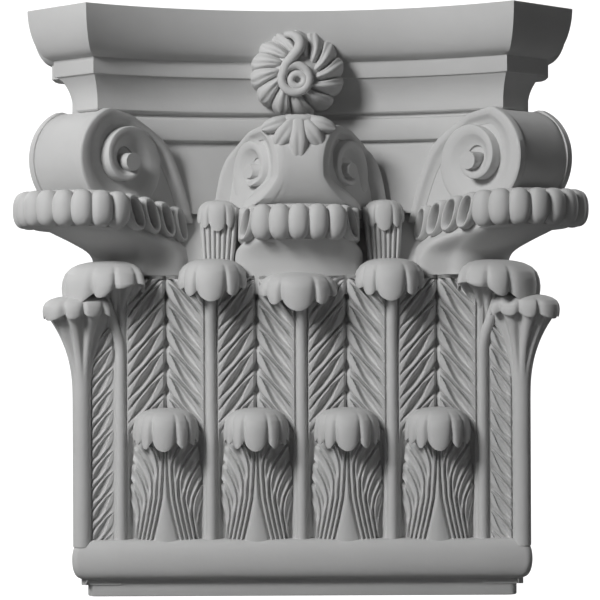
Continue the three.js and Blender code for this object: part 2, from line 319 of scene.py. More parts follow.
def abacus_profile():
    """Height and inset of the ovolo, fillet, cavetto, neck and lip, from the top down."""
    levels = [(HEIGHT, TOP_EDGE), (HEIGHT - TOP_EDGE, 0)]
    drop, inwards, fullness = OVOLO
    for k in np.linspace(0, 1, 17)[1:]:
        levels.append((HEIGHT - drop * k, inwards * (1 - (1 - k**fullness) ** (1 / fullness))))
    levels += FILLET
    top, drop, start, inwards, hollowness = CAVETTO
    for k in np.linspace(0, 1, 9)[1:]:
        levels.append((top - drop * k, start + inwards * (1 - (1 - k) ** hollowness)))
    return levels + list(NECK) + list(LIP)


def abacus():
    rings = [[(x, y, z) for x, y in abacus_plan(inset)] for z, inset in abacus_profile()]
    return [loft(rings)]


def bell():
    rings = []
    for z, half, front in BELL_LEVELS:
        rings.append([(-half, BELL_BACK, z), (-half, front, z), (half, front, z), (half, BELL_BACK, z)])
    return [loft(rings)]


def base_plan(half, corner=8, steps=6):
    """Points round the base at one level, with its two front corners rounded."""
    front = CORNER_SUM - half
    turn = np.linspace(0, math.pi / 2, steps + 1)
    right = [(half - corner * (1 - math.sin(a)), front + corner * (1 - math.cos(a))) for a in turn]
    right.append((half, WALL_Y))
    return [(-x, y) for x, y in reversed(right)] + right


def base():
    """Torus over a recess and a plain plinth."""
    levels = []
    for a in np.radians(np.linspace(80, -80, 21)):
        half = TORUS_NECK + TORUS_SWELL * math.cos(a) ** TORUS_FULLNESS
        levels.append((TORUS_Z + TORUS_HALF * math.sin(a), half))
    levels += PLINTH
    rings = [[(x, y, z) for x, y in base_plan(half)] for z, half in levels]
    return [loft(rings)]


# Upright leaves

# The outermost stem, counted from the middle one
LAST_STEM = 2
STEM_FOOT = BASE_TOP - 14
STEM_BENDS_AT = 250
STEM_BEND = 12
# Share of a leaf's width that the plain strip by its stem takes, and where the carving is at full depth
PLAIN_STRIP = 0.13
FULL_CARVING = 0.3
# Width of a groove, and how much wider it gets at the edge
GROOVE_WIDTH = 1.0
GROOVE_WIDENS = 1.6
# Height over which the carving fades out, and how far back the hidden part lies
FADE = 15
HIDDEN_BACK = 10
EDGE_DROP = 5
# Depth and width of the line that parts a stem from its leaf
STEM_LINE = (3.5, 1.1)


def carved_side(width, foot, head, pitch, rise, front, out, curl, sunk=7.5, plain_below=0):
    """One side of an upright leaf from its stem at x = 0 outwards, with lobes that climb to the edge.

    Each lobe is a rim round an almond hollow, and a narrow groove parts it from the next one.
    pitch is the height of a lobe and rise how far it climbs, front the depth at the stem and out
    how far back the edge lies, curl how far the head bends forwards, and sunk the depth of the
    carving. Below plain_below, behind the lower leaves, the leaf is plain and lies back a little.
    """
    lobes = math.ceil((head - foot) / pitch)
    lean = math.sqrt(1 + (rise / width) ** 2)

    def place(u, v):
        climb = v * lobes
        t = climb - np.floor(climb + 1e-6)
        z = foot + climb * pitch + rise * (0.5 * u + 0.5 * u**0.55)
        from_edge = np.minimum(t, 1 - t) * pitch / lean
        shown = smooth(plain_below - FADE, plain_below + FADE, z)
        carved = smooth(PLAIN_STRIP, FULL_CARVING, u) * shown
        by_edge = smooth(0.84, 1, u)
        groove = np.exp(-((from_edge / (GROOVE_WIDTH + GROOVE_WIDENS * by_edge)) ** 2)) * carved
        middle = 0.47 + 0.26 * smooth(0.5, 0.92, u)
        half = 0.01 + 0.35 * smooth(0.12, 0.5, u) * (1 - smooth(0.62, 0.93, u))
        hollow = (1 - smooth(0.2, 1.0, np.abs(t - middle) / half)) * np.sqrt(half / 0.36) * shown
        bend = curl * smooth(head - 70, head, z)
        y = front + out * np.maximum(u - 0.14, 0) ** 1.5 - bend
        y = y + 0.8 * sunk * groove + sunk * hollow + EDGE_DROP * smooth(0.93, 1, u) ** 1.5
        line_depth, line_width = STEM_LINE
        y = y + line_depth * np.exp(-(((u * width - STEM_R - 0.4) / line_width) ** 2))
        y = y + HIDDEN_BACK * (1 - shown) * smooth(PLAIN_STRIP, 0.22, u)
        z = np.where(z < head, z, head + 0.05 * (z - head))
        return u * width - 2 * groove * u**14, y, z

    return relief(30, lobes * 18, BLADE_BACK, place)


def stem(lean=0, top=LEAF_TOP):
    """A round stem at x = 0 that bends forwards near its top, and aside by lean."""
    z = np.linspace(STEM_FOOT, top, 40)
    bend = smooth(STEM_BENDS_AT, top, z)
    return tube(np.stack([lean * bend, STEM_Y - STEM_BEND * bend, z], axis=-1), STEM_R, around=20)


def upper_leaves():
    side = carved_side(
        width=46.5, foot=30, head=LEAF_TOP, pitch=24, rise=62, front=57, out=9, curl=8, plain_below=165
    )
    outer = carved_side(width=34, foot=236, head=LEAF_TOP, pitch=24, rise=44, front=59, out=6, curl=6)
    upright = stem()
    leaning = stem(lean=16, top=318)
    pieces = []
    for n in range(-LAST_STEM, LAST_STEM + 1):
        right = moved(outer if n == LAST_STEM else side, n * PITCH)
        left = mirrored(outer if n == -LAST_STEM else side)
        slide(left, n * PITCH)
        pieces += [right, left]
        if abs(n) < LAST_STEM:
            pieces.append(moved(upright, n * PITCH))
    pieces += both([moved(leaning, LAST_STEM * PITCH)])
    discard(side, outer, upright, leaning)
    return pieces


# Leaf tips

# Bearing of the middle, the creases and the end of the lobes of a leaf tip, and their phases
LOBE_BEARINGS = (0, 27, 56, 84, 112, 132)
LOBE_PHASES = (0, 90, 270, 450, 630, 720)
# Outline of a leaf tip from its crown to its rim
TIP_RADIUS = (0, 0.24, 0.46, 0.66, 0.82, 0.93, 0.985, 1.0, 0.995, 0.985, 0.97)
TIP_HEIGHT = (1, 0.985, 0.94, 0.84, 0.67, 0.42, 0.1, -0.3, -0.65, -0.88, -1.0)
# How far round a leaf tip goes to each side, and how far back it reaches
TIP_WRAP = 128
TIP_BACK = 20
# Share of the radius by which the creases and the notches between the lobes draw in
CREASE_DRAW = 0.06
NOTCH_DRAW = 0.07


def leaf_tip(half, reach, rise, hang, thick=3.6, shallow=0.72, lobe=LOBE_BEARINGS[1]):
    """A leaf tip that curls forwards and hangs, its rim cut into rounded lobes.

    It stands at the origin and curls towards -y. shallow is how much less its sides hang
    than its middle, and lobe is the bearing where its middle lobe ends.
    """
    stations = np.linspace(0, 1, len(TIP_RADIUS))

    def place(u, v):
        turn = np.radians(TIP_WRAP) * (2 * u - 1)
        bearing = np.abs(turn) * LOBE_BEARINGS[1] / lobe
        phase = np.interp(bearing, np.radians(LOBE_BEARINGS), np.radians(LOBE_PHASES))
        wave = np.abs(np.cos(phase))
        tongue = wave**0.75
        crease = np.exp(-((wave / 0.3) ** 2))
        radius = np.interp(v, stations, TIP_RADIUS)
        height = np.interp(v, stations, TIP_HEIGHT)
        creased = CREASE_DRAW * crease * smooth(0.1, 0.8, v)
        notched = NOTCH_DRAW * (1 - tongue) * smooth(0.3, 0.9, v)
        radius = radius * (1 - creased - notched)
        side = np.abs(np.sin(turn))
        drop = hang * (1 - shallow * side**2.2) * (0.5 + 0.5 * tongue)
        ahead = np.cos(turn)
        x = half * radius * np.sin(turn)
        y = -radius * ahead * np.where(ahead > 0, reach, TIP_BACK)
        return x, y, np.where(height > 0, rise * height, drop * height)

    piece = grid(120, 34, place)
    edit(piece)
    bpy.ops.mesh.remove_doubles(threshold=0.01)
    bpy.ops.mesh.normals_make_consistent(inside=False)
    done()
    wall = piece.modifiers.new("Wall", "SOLIDIFY")
    wall.thickness = thick
    wall.offset = -1
    bpy.ops.object.modifier_apply(modifier=wall.name)
    return piece


def set_tip(tip, x, y, z, turn=0):
    """A copy of a leaf tip in its place, turned to the right by turn."""
    c, s = math.cos(math.radians(turn)), math.sin(math.radians(turn))
    return copy_of(tip, lambda px, py, pz: (x + px * c - py * s, y + py * c + px * s, z + pz))


def leaf_throat(foot, low, high, start, across_end, ahead_end, flutes=4.5):
    """The fluted underside of a leaf at the corner, which opens like a trumpet below its tip."""
    rings = []
    bearing = np.linspace(-math.pi, math.pi, 144, endpoint=False)
    for k in np.linspace(0, 1, 24):
        flute = 1 - 0.2 * smooth(0.15, 0.7, k) * np.abs(np.sin(flutes * bearing)) ** 3
        across = mix(start, across_end, k**2.2) * flute * np.sin(bearing)
        ahead = mix(start, ahead_end, k**2.5) * flute * np.cos(bearing)
        x = foot[0] + (ahead + across) / ROOT2
        y = foot[1] + (across - ahead) / ROOT2
        rings.append(np.stack([x, y, 0 * x + mix(low, high, k)], axis=-1))
    return loft(rings)


def upper_tips():
    tip = leaf_tip(half=37, reach=44, rise=23, hang=21)
    centre = leaf_tip(half=42, reach=46, rise=18, hang=22, shallow=0.8)
    outer = leaf_tip(half=51, reach=50, rise=23, hang=22, shallow=0.9)
    pieces = both([set_tip(tip, PITCH - 2, 61, 324), set_tip(outer, 196, 64, 322, turn=46)])
    throat = leaf_throat((191, 66), low=250, high=325, start=5, across_end=40, ahead_end=32, flutes=5)
    pieces += both([throat])
    pieces.append(set_tip(centre, -3, 61, 315))
    discard(tip, centre, outer)
    return pieces


# Lower leaves

LOWER_FOOT = BASE_TOP - 22
LOWER_TOP = 184
LOWER_FRONT = 52
# By height: half width of a lower leaf, half width of its middle rib, and the spacing of its grooves
LOWER_SWELL = ((BASE_TOP, 33), (80, 36), (104, 38), (128, 36), (150, 33), (180, 31))
LOWER_RIB = ((34, 15), (59, 13.5), (80, 8.5), (101, 4.2), (125, 2.2), (150, 1.4))
LOWER_SPREAD = ((59, 4.4), (101, 4.9), (125, 5.3))
# Height above which each groove of a lower leaf bends away, and how fast it bends
LOWER_GROOVES = ((132, 0.02), (114, 0.017), (96, 0.0145), (78, 0.0125), (62, 0.0115), (48, 0.0105))


def lower_grooves(z, rib):
    """How far the middle, the rib's edge and each groove lie from the middle, in rising order."""
    spread = read_off(LOWER_SPREAD, z)
    lines = [np.zeros_like(z), rib]
    for k, (bends_at, speed) in enumerate(LOWER_GROOVES):
        lines.append(rib + (k + 1) * spread + speed * np.maximum(z - bends_at, 0) ** 1.9)
    return np.sort(np.stack(lines), axis=0)


def lower_blade():
    """A lower leaf, whose veins rise beside a rib and bend away to a scalloped edge."""

    def place(u, v):
        z = mix(LOWER_FOOT, LOWER_TOP, v)
        swell = read_off(LOWER_SWELL, z)
        aside = np.abs(2 * u - 1) * swell
        rib = read_off(LOWER_RIB, z)
        lines = lower_grooves(z, rib)
        last = len(lines) - 1
        nearest = np.abs(aside[None] - lines[1:]).min(axis=0)
        index = (aside[None] > lines[1:]).sum(axis=0)
        low = np.take_along_axis(lines, np.clip(index, 0, last)[None], 0)[0]
        following = np.take_along_axis(lines, np.clip(index + 1, 0, last)[None], 0)[0]
        high = np.where(index < last, following, swell + 6)
        width = np.maximum(high - low, 0.5)
        t = np.clip((aside - low) / width, 0, 1)
        groove = np.exp(-((nearest / 1.4) ** 2))
        crown = np.where(index > 0, np.sin(math.pi * t) ** 0.8 * np.minimum(width, 7) / 7, 0)
        hollow = np.where(index > 0, smooth(4.5, 8, width) * np.sin(math.pi * t) ** 3, 0)
        edge = smooth(0.86, 1.0, aside / swell)
        y = LOWER_FRONT + 11 * (aside / 36) ** 2 - 5 * smooth(60, 170, z)
        y = y + 3.5 * groove - 3 * crown + 5.5 * hollow + 3 * edge
        over_rib = np.cos(np.clip(aside / np.maximum(rib, 1), 0, 1) * math.pi / 2)
        y = y - np.where(index == 0, 1.6 * over_rib, 0)
        scallop = 3 * groove * smooth(0.8, 1, aside / swell)
        return np.sign(2 * u - 1) * (aside - scallop), y, z

    return relief(88, 150, BLADE_BACK, place)


def lower_leaves():
    blade = lower_blade()
    tip = leaf_tip(half=34, reach=38, rise=21, hang=22, shallow=0.35, lobe=24)
    pieces = []
    for n in (-1.5, -0.5, 0.5, 1.5):
        pieces += [moved(blade, n * PITCH), set_tip(tip, n * PITCH, 58, 173)]
    discard(blade, tip)
    return pieces


# Corner leaves

# Where the rib on a corner stands, how far its middle is set back, and its radius
RIB_X = 221
RIB_INSET = 4.5
RIB_R = 9.5
RIB_FOOT = (RIB_X + RIB_INSET, CORNER_SUM - RIB_X - RIB_INSET)
# Where the middle of the plainer leaf on a side stands, before it is carried round the corner
SIDE_LEAF_X = CORNER_SUM - 112


def corner_leaves():
    """Half a leaf on each face of a corner, the rib and tip between them, and a plainer leaf on the side."""
    half = carved_side(width=30, foot=12, head=286, pitch=21, rise=40, front=54, out=6, curl=6, sunk=5)
    front = mirrored(half)
    slide(front, RIB_X + 1)
    z = np.linspace(BASE_TOP - 4, 235, 30)
    rib = tube(np.stack([RIB_FOOT[0] + 0 * z, RIB_FOOT[1] + 0 * z, z], axis=-1), RIB_R, around=28)
    tip = leaf_tip(half=36, reach=50, rise=13, hang=13, shallow=0.3)
    placed = set_tip(tip, RIB_X, CORNER_SUM - RIB_X, 297, turn=45)
    throat = leaf_throat(RIB_FOOT, low=205, high=293, start=RIB_R, across_end=32, ahead_end=42)
    plain = carved_side(width=42, foot=12, head=318, pitch=30, rise=36, front=60, out=6, curl=0, sunk=1)
    narrow = carved_side(width=29, foot=12, head=318, pitch=30, rise=36, front=60, out=6, curl=0, sunk=1)
    other = mirrored(narrow)
    sides = []
    for part in (plain, other):
        slide(part, SIDE_LEAF_X)
        sides.append(on_side(part))
    pieces = both([front, on_side(front), rib, placed, throat] + sides)
    discard(half, tip, plain, narrow, other)
    return pieces


# Scrolls

# Radius of the outer and the inner edge of a scroll's ribbon about its eye, by turn
RIBBON_TURNS = (-70, -45, 0, 45, 90, 135, 180, 225, 270, 315, 360, 405, 450, 495, 540, 600, 900)
RIBBON_OUTER = (58, 60, 58, 53, 49, 49, 49, 44, 36, 31, 27, 23, 18, 13, 10.5, 9.5, 9)
RIBBON_INNER = (42, 38, 28, 23.5, 20, 17.5, 16.5, 16.5, 17, 14, 11, 9.5, 8.5, 6, 3, 1, 0.3)
# The two edges of the stem that leads up to it, ahead of and above the eye
STEM_OUTER = ((-94, -60), (-86, -35), (-75, -8), (-61, 19), (-46, 30), (-32, 38), (-8, 50))
STEM_INNER = ((-79, -60), (-71, -37), (-61, -14), (-48, 7), (-36, 17), (-24, 25.5), (-5, 37))
# Section of a scroll's ribbon, from its outer edge to the inner one: how far across, and how high
RIBBON_SECTION = (
    (0.35, -24), (0.35, -10), (0, -8.5), (0, -1.4), (0.03, -0.4), (0.08, 0), (0.25, 0.3), (0.42, 0),
    (0.5, -0.6), (0.62, -2.4), (0.82, -4.6), (1, -5.4), (1, -24),
)
# Points of the section below this height are inside the capital and aren't shaped
HIDDEN_BELOW = -8
# Share of the ribbon that is stem, and the distances from the eye at which it starts and ends its rise
STEM_SHARE = 0.35
RISE_FROM = 37
RISE_TO = 3
# Turn at which the drum between the two faces of a scroll ends
DRUM_END = 100
EYE_R = 9
EYE_BULGE = 2
EYE_SUNK = 10

# Eye of a corner scroll: how far out along the diagonal, and its height
CORNER_EYE_OUT = 97
CORNER_EYE_Z = 445
# Eye of the centre scrolls, and how much less deep and high they are than a corner one
CENTRE_EYE_Y = 65
CENTRE_EYE_Z = 437
CENTRE_DEPTH = 0.7
CENTRE_HEIGHT = 0.84
# Behind this place their stem runs back less
CENTRE_STEM_AT = -45
CENTRE_STEM_DEPTH = 0.25
# How far the centre scrolls stand apart, by place ahead of the eye
CENTRE_FLARE = ((-94, 3.75), (-75, 3.35), (-46, 2.69), (0, 1.9), (60, 0.83))


def scroll_edge(stem_points, radii, last_turn):
    """One edge of a scroll's ribbon, ahead of and above the eye, from the stem inwards."""
    turn = np.linspace(RIBBON_TURNS[0], last_turn, 360)
    radius = np.interp(turn, RIBBON_TURNS, radii)
    reach = 12
    kernel = np.ones(2 * reach + 1) / (2 * reach + 1)
    radius = np.convolve(np.pad(radius, reach, mode="edge"), kernel, mode="valid")
    angle = np.radians(-turn)
    spiral = np.stack([radius * np.cos(angle), radius * np.sin(angle)], axis=-1)
    return np.concatenate([smooth_line(stem_points, 100)[:-1], spiral])


def ribbon_edges(steps=180):
    """The outer and the inner edge of a ribbon, at equal steps along its middle."""
    outer = scroll_edge(STEM_OUTER, RIBBON_OUTER, RIBBON_TURNS[-1])
    inner = scroll_edge(STEM_INNER, RIBBON_INNER, RIBBON_TURNS[-1])
    lengths = lengths_along((outer + inner) / 2)
    at = np.linspace(0, lengths[-1], steps)
    return points_at(outer, lengths, at), points_at(inner, lengths, at)


def set_line(place, line, across):
    """A line drawn on the side of a scroll, put on the capital by place(ahead, up, across)."""
    return np.stack(np.broadcast_arrays(*place(line[:, 0], line[:, 1], across)), axis=-1)


def scroll_ribbon(half, place, sign, screw, depth_scale):
    """The ribbon on one face of a scroll, which screws outwards towards the eye."""
    outer, inner = ribbon_edges()
    centre_gap = np.linalg.norm((outer + inner) / 2, axis=1)
    past_stem = np.arange(len(outer)) > len(outer) * STEM_SHARE
    lift = np.where(past_stem, screw * smooth(RISE_FROM, RISE_TO, centre_gap), 0)
    rings = []
    for k, height in RIBBON_SECTION:
        raised = height
        if height >= HIDDEN_BELOW:
            raised = depth_scale * height * smooth(9, 16, centre_gap) + lift
        rings.append(set_line(place, mix(outer, inner, k), sign * (half + raised)))
    return loft(np.stack(rings, axis=1))


def scroll_eye(half, place, sign):
    """The rounded boss at the middle of a scroll's face."""
    turn = np.linspace(0, 2 * math.pi, 32, endpoint=False)
    circle = np.stack([np.cos(turn), np.sin(turn)], axis=-1)
    rings = []
    for a in np.radians((-60, 0, 20, 40, 60, 80)):
        out = EYE_BULGE * math.sin(a) if a > 0 else EYE_SUNK * a
        rings.append(set_line(place, EYE_R * math.cos(max(a, 0)) * circle, sign * (half + out)))
    return loft(rings)


def scroll_drum(half, place, channel, ground, hollow):
    """The drum between the two faces of a scroll, drawn in towards its middle and its edges."""
    edge = scroll_edge(STEM_OUTER, RIBBON_OUTER, DRUM_END)[::4]
    inwards = edge / np.linalg.norm(edge, axis=1, keepdims=True)
    sections = [(-half + ground, channel + 3), (-half + ground + 2, channel), (-half + 14, 3.5)]
    sections += [(0.5 * t, 4.6) for t in (-half, 0, half)]
    sections += [(half - 14, 3.5), (half - ground - 2, channel), (half - ground, channel + 3)]
    return loft([set_line(place, edge - inwards * drawn * hollow, t) for t, drawn in sections])


def scroll(half, place, channel=4, ground=6, screw=13, depth_scale=1.0, hollow=1.0):
    """A scroll of half width half. place(ahead, up, across) puts its points on the capital."""
    pieces = []
    for sign in (-1, 1):
        pieces.append(scroll_ribbon(half, place, sign, screw, depth_scale))
        pieces.append(scroll_eye(half + screw - 2, place, sign))
    pieces.append(scroll_drum(half, place, channel, ground, hollow))
    return pieces


def corner_place(ahead, up, across):
    forward = CORNER_EYE_OUT + ahead
    aside = CORNER_MID + across
    return (aside + forward) / ROOT2, (aside - forward) / ROOT2, CORNER_EYE_Z + up


def centre_place(ahead, up, across):
    """The two centre scrolls are the faces of one, which flares towards the wall and below."""
    behind = np.minimum(ahead - CENTRE_STEM_AT, 0)
    y = CENTRE_EYE_Y - CENTRE_DEPTH * np.maximum(ahead, CENTRE_STEM_AT) - CENTRE_STEM_DEPTH * behind
    low = smooth(0, -25, up)
    z = CENTRE_EYE_Z + CENTRE_HEIGHT * up - 0.3 * low * np.clip(-ahead, 0, 30)
    flare = read_off(CENTRE_FLARE, ahead)
    flare = flare * (1 + 0.012 * np.clip(-up - 10, 0, 40) * smooth(-20, 20, ahead))
    return across * flare, y, z


def scrolls():
    corner = scroll(43, corner_place, hollow=0.5)
    centre = scroll(26, centre_place, channel=3, ground=4, screw=2.5, depth_scale=0.6, hollow=0.12)
    return both(corner) + centre


# Trays of eggs below the scrolls

# Half the rim of a tray in plan, from the side of the bell to the tip: how far ahead and aside
CORNER_RIM = (
    (13, 44), (18, 50), (74, 62), (113, 69), (139, 69), (160, 57), (172, 38), (178, 19), (180, 0),
)
CENTRE_RIM = ((0, 62), (30, 64), (48, 60), (62, 47), (71, 28), (75, 10), (76, 0))
# Height, reach, width and inner width of the cups under the trays
CORNER_CUP = (
    (396, 0.9, 0.8, 0.76), (379, 0.84, 0.78, 0.78), (375, 0.79, 0.78, 0.9), (368, 0.68, 0.72, 0.96),
    (356, 0.53, 0.62, 0.98), (349, 0.49, 0.6, 1.0), (330, 0.47, 0.58, 1.0),
)
CENTRE_CUP = (
    (388, 0.86, 0.82, 0.82), (367, 0.82, 0.86, 0.88), (362, 0.75, 0.95, 0.99), (357, 0.67, 0.99, 1.03),
    (348, 0.6, 1.0, 1.05), (336, 0.56, 1.0, 1.07), (322, 0.53, 0.97, 1.09), (310, 0.5, 0.94, 1.1),
)
CUP_LEVELS = 24
CUP_HANG = 45
CENTRE_TRAY = (-2, 91)
FINE_RIM = 2000
RIM_STEPS = 72
# How far an egg and a slot are set in from the rim, and half the depth of an egg
EGG_INSET = 8.5
SLOT_INSET = 6.5
EGG_DEPTH = 12.5
# Share of its room that half an egg and half a slot take
EGG_SHARE = 0.53
SLOT_SHARE = 0.35
EGG_FULLNESS = 2.5
# Rim of a slot: its radius, how much deeper than wide it is, how far in it is set, and its slant
SLOT_R = 3
SLOT_DEEPER = 2.2
SLOT_SET_IN = 1.5
SLOT_SLANT = 0.4


def rim_line(half_rim, steps):
    """Points round a tray at equal steps, from one end by the tip to the other, and their outward normals."""
    half_rim = np.asarray(half_rim, float)
    whole = np.concatenate([half_rim * (1, -1), half_rim[-2::-1]])
    line = smooth_line(whole, 400)
    lengths = lengths_along(line)
    line = points_at(line, lengths, np.linspace(0, lengths[-1], steps))
    along = np.gradient(line, axis=0)
    normal = np.stack([along[:, 1], -along[:, 0]], axis=-1)
    return line, normal / np.linalg.norm(normal, axis=1, keepdims=True)


def corner_plan(ahead, aside):
    return (CORNER_MID + ahead + aside) / ROOT2, (CORNER_MID - ahead + aside) / ROOT2


def centre_plan(ahead, aside):
    return CENTRE_TRAY[0] + aside, CENTRE_TRAY[1] - ahead


def rounded(value):
    """A sine or cosine that draws a circle out towards a square."""
    return np.sign(value) * np.abs(value) ** 0.8


def slot_rim(spot, turn, half_wide, half_high, slant):
    """The raised rim of a slot, which faces the way of turn and leans aside by slant."""
    x, y, z = spot
    round_about = np.linspace(0, 2 * math.pi, 28, endpoint=False)
    wide = half_wide * rounded(np.cos(round_about))
    high = half_high * rounded(np.sin(round_about))
    path = np.stack([wide, 0 * round_about, high], axis=-1)
    rim = tube(path, SLOT_R, around=14, closed=True, flatten=(1, SLOT_DEEPER))
    c, s = math.cos(turn), math.sin(turn)
    px, py, pz = points_of(rim).T
    px = px + slant * pz
    move_points(rim, x - SLOT_SET_IN * c - px * s - py * c, y - SLOT_SET_IN * s + px * c - py * s, z + pz)
    return face_out(rim)


def egg_row(half_rim, plan, eggs, slots, slot_width, top, bottom, droop):
    """Eggs round the tip of a tray, with slots on both sides. A slot takes slot_width times an egg's room."""
    widths = np.array([slot_width] * slots + [1] * eggs + [slot_width] * slots)
    line, normal = rim_line(half_rim, FINE_RIM)
    length = np.sum(np.linalg.norm(np.diff(line, axis=0), axis=1))
    room = length / widths.sum()
    half_high = (top - bottom) / 2
    pieces = []
    at = (np.cumsum(widths) - widths / 2) / widths.sum()
    for n, k in enumerate((at * (FINE_RIM - 1)).astype(int)):
        is_egg = slots <= n < len(widths) - slots
        spot = line[k] - normal[k] * (EGG_INSET if is_egg else SLOT_INSET)
        x, y = plan(*spot)
        outer_x, outer_y = plan(*(spot + normal[k]))
        turn = math.atan2(outer_y - y, outer_x - x)
        z = (top + bottom) / 2 - droop * abs(2 * at[n] - 1) ** 3
        if is_egg:
            size = (EGG_DEPTH, room * EGG_SHARE, half_high)
            pieces.append(ball((x, y, z), size, (0, 0, turn), fullness=EGG_FULLNESS))
        else:
            slant = SLOT_SLANT if n < slots else -SLOT_SLANT
            pieces.append(slot_rim((x, y, z), turn, room * slot_width * SLOT_SHARE, half_high - 3, slant))
    return pieces


def tray(half_rim, plan, eggs, slots, slot_width, top, bottom, cup, droop):
    """A row of eggs and slots, the shelf that backs it, and the cup that carries it.

    The row, the shelf and the head of the cup hang lower towards the bell, by up to droop.
    """
    pieces = egg_row(half_rim, plan, eggs, slots, slot_width, top, bottom, droop)
    line, normal = rim_line(half_rim, RIM_STEPS)
    sag = droop * np.abs(np.linspace(-1, 1, RIM_STEPS)) ** 3
    shelf = []
    levels = [(top - 1, 19), (top, 17), (top - 1, 15), (bottom + 1, 14), (bottom, 16), (bottom - 1, 18)]
    for z, drawn in levels:
        shelf.append(np.stack([*plan(*(line - normal * drawn).T), z - sag], axis=-1))
    pieces.append(loft(shelf))
    towards_tip = smooth(0.35, 0.75, line[:, 0] / line[:, 0].max())
    rings = []
    for z, reach, width, inner_width in smooth_line(cup, CUP_LEVELS):
        x, y = plan(line[:, 0] * reach, line[:, 1] * mix(inner_width, width, towards_tip))
        rings.append(np.stack([x, y, z - sag * smooth(bottom - CUP_HANG, bottom, z)], axis=-1))
    pieces.append(loft(rings))
    return pieces


def trays():
    corner = tray(
        CORNER_RIM, corner_plan, eggs=10, slots=4, slot_width=1.15, top=416, bottom=378.5, cup=CORNER_CUP,
        droop=17,
    )
    centre = tray(
        CENTRE_RIM, centre_plan, eggs=5, slots=3, slot_width=1.0, top=402, bottom=365, cup=CENTRE_CUP,
        droop=7,
    )
    return both(corner) + centre


# Fans between the trays

FAN_X = PITCH - 7
FAN_STALKS = 7
FAN_FOOT = 318
FAN_HEAD = 400
FAN_BACK = 130


def fans():
    """A fan of stalks that opens upwards, under a leaf tip."""

    def place(u, v):
        across = (2 * u - 1) * mix(13, 21, v**0.8)
        t = u * FAN_STALKS
        t = t - np.floor(t)
        ridge = np.sin(math.pi * t) ** 0.6
        y = mix(64, 76, v) + 5 * (2 * u - 1) ** 2 - 4 * ridge
        return mix(FAN_X, FAN_X - 1, v) + across, y, mix(FAN_FOOT, FAN_HEAD, v)

    blade = relief(FAN_STALKS * 10, 24, FAN_BACK, place)
    tip = leaf_tip(half=22, reach=20, rise=16, hang=17, thick=3, shallow=0.6)
    placed = set_tip(tip, FAN_X, 84, 392)
    discard(tip)
    return both([blade, placed])


# Flower and petals

# Middle of the flower, aside and up
FLOWER_X = -3
FLOWER_Z = 539
FLOWER_LOBES = 13
FLOWER_FRONT = 57
FLOWER_BACK = 108
# Where a lobe starts and ends, from the middle, and how much less high than wide the flower is
LOBE_START = 14
LOBE_END = 49
FLOWER_SQUASH = 0.92
# Rings at its heart: how far aside and up, half width, half height and radius of the bar
HEART_Y = 55
HEART_RINGS = ((-2, -8, 14, 14, 4.6), (0.5, -9.5, 7, 6.5, 3.9))
# How the tail of its swirl runs from the ring to the top: aside, depth and height
SWIRL_TAIL = (
    (-16, 56, -8), (-12, 54, 6), (-4, 53, 15), (3, 53, 24), (3, 54, 32), (-4, 57, 38), (-12, 62, 38),
)
TAIL_STEPS = 40
TAIL_RADIUS = ((0, 4.6), (16, 5.4), (28, 5.6), (39, 3.2))

# Foot of the palmette below the flower, and the depth of its petals
PALMETTE_X = -2
PALMETTE_Z = 488
PETAL_FRONT = 28
PETAL_BACK = 60
# Bearing, length and half width of each petal
PETALS = ((0, 44, 9.5), (0.62, 35, 9.5), (-0.62, 35, 9.5), (1.25, 33, 8), (-1.25, 33, 8))
# Share of its half width that a petal has along its length
PETAL_OUTLINE = ((0, 0.75), (0.25, 0.85), (0.55, 1), (0.85, 0.8), (0.96, 0.45), (1, 0.12))


def flower_lobe(angle):
    """One lobe of the flower, which bends aside as it runs outwards and falls back at its end."""

    def place(u, v):
        along = mix(LOBE_START, LOBE_END, v)
        rounded_end = np.sqrt(np.clip(1 - (np.maximum(v - 0.72, 0) / 0.29) ** 2, 0, 1))
        wide = 1.12 * math.pi * along / FLOWER_LOBES * rounded_end
        bent = angle + (0.6 + 0.3 * math.cos(angle)) * (v - 0.2) * (1 - 0.3 * v)
        across = (2 * u - 1) * wide
        vein = np.abs(np.sin(2 * math.pi * u + 0.5)) ** 3
        fall = 20 * np.maximum(v - 0.3, 0) ** 2.2 / 0.7**2.2 + 10 * np.maximum(0.3 - v, 0) ** 2 / 0.3**2
        y = FLOWER_FRONT + fall + 12 * np.abs(2 * u - 1) ** 3 + 2.4 * vein * smooth(0.1, 0.4, v)
        x = along * np.cos(bent) - across * np.sin(bent)
        z = along * np.sin(bent) + across * np.cos(bent)
        return FLOWER_X + x, y, FLOWER_Z + FLOWER_SQUASH * z

    return relief(22, 22, FLOWER_BACK, place)


def flower():
    pieces = [flower_lobe(2 * math.pi * (n + 0.5) / FLOWER_LOBES) for n in range(FLOWER_LOBES)]
    turn = np.linspace(0, 2 * math.pi, 48, endpoint=False)
    for aside, up, wide, high, radius in HEART_RINGS:
        x = FLOWER_X + aside + wide * np.cos(turn)
        z = FLOWER_Z + up + high * np.sin(turn)
        pieces.append(tube(np.stack([x, 0 * turn + HEART_Y, z], axis=-1), radius, closed=True))
    tail = smooth_line([(FLOWER_X + aside, y, FLOWER_Z + up) for aside, y, up in SWIRL_TAIL], TAIL_STEPS)
    pieces.append(tube(tail, read_off(TAIL_RADIUS, np.arange(TAIL_STEPS)), around=16))
    pieces.append(ball((FLOWER_X, 78, FLOWER_Z), (30, 22, 26), segments=32))
    return pieces


